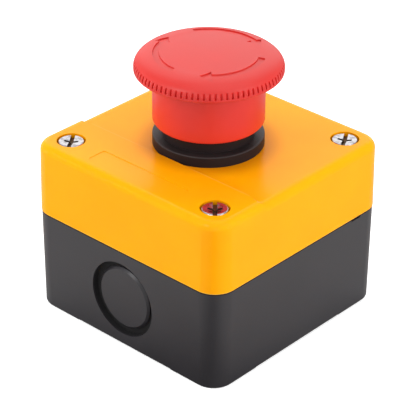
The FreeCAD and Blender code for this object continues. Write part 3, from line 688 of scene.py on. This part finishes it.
def screw_grid(x, y, drop, turn):
    """Pan-head screw as rings of points: the recess's four arms and the lands between them share each ring.

    Arm edges lie at the angle whose sine is the arm's half-width over the radius, so walls stay straight.
    The top falls by the square of the radius, by a quarter round at its edge, and evenly towards the recess.
    The shank's radius is a cosine ridge that climbs one pitch in a turn.
    """
    top = screw_high.z - drop
    seat = top - screw_head_h
    inner = math.hypot(slot_half, cross_half) * arm_clear
    cross_ends = [cross_reach, cross_reach + cross_end]
    radius = np.concatenate([[inner], arm_rings, cross_ends, land_rings, head_edge_r()])
    slot, cross = [np.arcsin(half / radius)[:, None] for half in (slot_half, cross_half)]
    rings = []
    for own, other in ((slot, cross), (cross, slot)):
        lands = own + (quarter_turn - own - other) * land_shares
        rings.append(np.concatenate([own * side_to_side, lands], 1))
    arms = range(4)
    angles = np.concatenate([rings[k % 2] + k * quarter_turn for k in arms], 1)
    dish = screw_dish * np.clip(1 - radius / screw_ridge_r, 0, 1)
    dome = top - screw_dome * (radius / screw_head_r) ** 2 - edge_fall(radius) - dish
    slot_floor = np.minimum(dome, top - slot_depth)
    cross_slope = top - slot_depth * (1 - cross_rise * radius / cross_reach)
    cross_floor = np.where(radius < cross_reach + cross_end / 2, cross_slope, dome)
    height = dome[:, None] + 0 * angles
    width = rings[0].shape[1]
    for k in arms:
        arm_floor = cross_floor if k % 2 else slot_floor
        height[:, k * width:k * width + len(side_to_side)] = arm_floor[:, None]
    head = turned_points(angles, radius[:, None], height)
    middle = np.zeros_like(head[:1])
    middle[..., 2] = top - slot_depth
    rim = angles[-1]
    tip = screw_low.z + strip_rise - drop
    rungs = np.linspace(seat, tip + screw_r, thread_rungs)[:, None]
    ridge = thread_depth * (0.5 - 0.5 * np.cos(rim - full_turn * rungs / thread_pitch))
    under = turned_points(rim, np.array([[screw_head_r]]), np.array([[seat]]) + 0 * rim)
    shank = turned_points(rim, screw_r - ridge, rungs + 0 * rim)
    point = turned_points(rim, np.array([[screw_tip_r], [0.0]]), np.array([[tip], [tip]]) + 0 * rim)
    grid = np.concatenate([middle, head, under, shank, point])
    spin = math.radians(turn)
    swung = grid.copy()
    swung[..., 0] = x + grid[..., 0] * math.cos(spin) - grid[..., 1] * math.sin(spin)
    swung[..., 1] = y + grid[..., 0] * math.sin(spin) + grid[..., 1] * math.cos(spin)
    return swung


def lid_screws():
    """Four screws at the lid's corners, the back pair lower because the strip carries the front pair."""
    grids = []
    for (side_x, side_y), turn in slot_turns.items():
        drop = strip_rise if side_y > 0 else 0.0
        grids.append(screw_grid(side_x * screw_at, side_y * screw_at, drop, turn))
    return smoothed(closed_mesh("lid_screw_set", grids), screw_crease)


# Springs

def coil_grid(x, y, radius, wire, low, high, turns):
    """Round wire swept along a helix that climbs evenly, between ends that lie flat for part of a turn."""
    share = np.linspace(0, 1, coil_steps * turns + 1)
    angle = full_turn * turns * share
    eased = np.clip((share * turns - flat_turns) / (turns - 2 * flat_turns), 0, 1)
    outward = np.stack([np.cos(angle), np.sin(angle), 0 * angle], -1)
    centre = radius * outward
    centre[:, 2] = low + wire / 2 + (high - low - wire) * eased
    around = np.linspace(0, full_turn, wire_sides, endpoint=False)
    up = np.array([0, 0, 1.0])
    section = outward[:, None] * np.cos(around)[:, None] + up * np.sin(around)[:, None]
    tube = centre[:, None] + wire / 2 * section
    ends = [np.repeat(centre[k][None, None], wire_sides, 1) for k in (0, -1)]
    return np.concatenate([ends[0], tube, ends[1]]) + np.array([x, y, 0])


def add_spring(node, radius, wire, turns, body, joint=None):
    """Coil in place of an imported spring node."""
    low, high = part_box(node)
    x = (low.x + high.x) / 2
    y = (low.y + high.y) / 2
    grid = coil_grid(x, y, radius, wire, low.z, high.z, turns)
    mesh = smoothed(closed_mesh(node + "_coil", [grid]), coil_crease)
    made = piece(node + "_coil", mesh, body, "spring_steel", [node])
    if joint:
        stroke = next(j["range_m"][1] for j in frame["joints"] if j["name"] == joint)
        1 - stroke / (high.z - low.z)
        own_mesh(made)


# Pieces

slots = {part["node"]: part["material_slot"] for part in frame["record"]["subparts"]}
for node, shown in frame["nodes"].items():
    for entry in shown.material_slots:
        entry.material = finishes[slots[node]]

moulding("base_box", "base_shell", "station", "base_black")
moulding("lid", "lid_shell", "station", "lid_yellow", steep_step)
moulding("operator_collar", "collar_moulding", "station", "collar_black")
piece("head_moulding", mushroom_head(), "head", "head_red", ["mushroom_head"])
piece("lid_screw_set", lid_screws(), "station", "plated_steel", ["lid_screws"])
add_spring("return_spring", radius=8.4 * mm, wire=1.0 * mm, turns=5, body="station", joint="push")
add_spring("twist_spring", radius=5.65 * mm, wire=0.8 * mm, turns=6, body="head")
for kind in ("nc", "no"):
    add_spring(kind + "_plunger_spring", radius=1.85 * mm, wire=0.5 * mm, turns=6, body="station",
               joint=kind + "_stroke")
    add_spring(kind + "_contact_spring", radius=1.0 * mm, wire=0.35 * mm, turns=4, body=kind + "_contact")


# Studio

camera_turn = math.radians(42.143)
lamp_aim = Vector((0, 0, 45 * mm))
room_strength = 0.5
floor_glow = 0.42
white = (1, 1, 1, 1)
sheet_reach = 3.0
sheet_rough = 0.9

# Each lamp's place, side in metres, power in watts, and whether glossy faces mirror it
lamps = {
    "top_box": ((0.12, 0.1, 0.9), 0.7, 0.9, True),
    "back_box": ((-0.95, 1.05, 0.92), 1.9, 9.0, True),
    "left_box": ((-0.8, -0.5, 0.26), 0.6, 9.4, False),
    "right_box": ((0.85, 0.35, 0.26), 0.6, 6.8, False),
    "front_fill": ((0.5, -0.55, 0.3), 0.6, 2.6, False),
    "back_fill": ((-0.42, 0.47, 0.82), 0.5, 3.1, False),
    "left_glow": ((-0.12, -0.72, 0.72), 0.32, 1.4, True),
    "right_glow": ((0.68, 0.2, 0.72), 0.32, 0.7, True),
}


def level_sheet(name, material, height):
    """Wide level sheet under the object."""
    sides = ((-1, -1), (1, -1), (1, 1), (-1, 1))
    corners = [(x * sheet_reach, y * sheet_reach, height) for x, y in sides]
    mesh = bpy.data.meshes.new(name)
    mesh.from_pydata(corners, [], [(0, 1, 2, 3)])
    mesh.materials.append(material)
    sheet = bpy.data.objects.new(name, mesh)
    bpy.context.scene.collection.objects.link(sheet)
    return sheet


def pale_floor():
    """Plain white floor for the eye, which shines a little by itself and lights nothing."""
    near_white = (0.9, 0.9, 0.9, 1)
    material, shader = start("floor")[:2]
    shader.inputs["Base Color"].default_value = near_white
    shader.inputs["Roughness"].default_value = sheet_rough
    shader.inputs["Emission Color"].default_value = white
    shader.inputs["Emission Strength"].default_value = floor_glow
    floor = level_sheet("floor", material, 0.0)
    floor.visible_diffuse = False
    floor.visible_glossy = False


def grey_table():
    """Unseen table that lights the sides, darker in the object's shade in front of the near corner."""
    dark = (0.27, 0.27, 0.27, 1)
    pale = (0.85, 0.85, 0.85, 1)
    shade_middle = -5 * mm
    shade_half = 42 * mm
    below_floor = -0.05 * mm
    material, shader, place = start("table")
    across = (math.cos(camera_turn), math.sin(camera_turn), 0)
    aside = place.node("ShaderNodeVectorMath", {"operation": "DOT_PRODUCT"}, {0: place, 1: across}, 1)
    shade_edge = aside.maths("ABSOLUTE", aside - shade_middle, 0.0).step(0.0, shade_half)
    place.give(shader.inputs["Base Color"], shade_edge.blend(dark, pale))
    shader.inputs["Roughness"].default_value = sheet_rough
    table = level_sheet("table", material, below_floor)
    table.visible_camera = False


def soft_box(name, position, size, power, mirrored):
    """Square area light that faces the object; a fill isn't mirrored in glossy faces."""
    lamp = bpy.data.lights.new(name, "AREA")
    lamp.size = size
    lamp.energy = power
    holder = bpy.data.objects.new(name, lamp)
    bpy.context.scene.collection.objects.link(holder)
    holder.location = position
    holder.rotation_euler = (lamp_aim - Vector(position)).to_track_quat("-Z", "Y").to_euler()
    holder.visible_glossy = mirrored


def white_room():
    """Even white light from all round."""
    world = bpy.data.worlds.new("white_room")
    world.use_nodes = True
    background = world.node_tree.nodes["Background"]
    background.inputs["Color"].default_value = white
    background.inputs["Strength"].default_value = room_strength
    bpy.context.scene.world = world


def photo_camera():
    """Long lens in front of the right-hand corner, above the lid, at the photograph's angle."""
    eye = Vector((306.01, -338.06, 297.39)) * mm
    elevation = math.radians(30.523)
    roll = math.radians(0.544)
    toward = Vector((math.sin(camera_turn), -math.cos(camera_turn), 0))
    back = math.cos(elevation) * toward + Vector((0, 0, math.sin(elevation)))
    right = Vector((math.cos(camera_turn), math.sin(camera_turn), 0))
    up = back.cross(right)
    level = math.cos(roll)
    tilt = math.sin(roll)
    columns = Matrix((level * right + tilt * up, level * up - tilt * right, back)).transposed()
    camera = bpy.data.objects.new("photo_camera", bpy.data.cameras.new("photo_camera"))
    bpy.context.scene.collection.objects.link(camera)
    camera.matrix_world = Matrix.Translation(eye) @ columns.to_4x4()
    camera.data.sensor_width = 36.0
    camera.data.lens = 167.09
    camera.data.clip_start = 10 * mm
    bpy.context.scene.camera = camera


pale_floor()
grey_table()
white_room()
for name, (position, size, power, mirrored) in lamps.items():
    soft_box(name, position, size, power, mirrored)
photo_camera()
bpy.context.scene.view_settings.view_transform = "Standard"
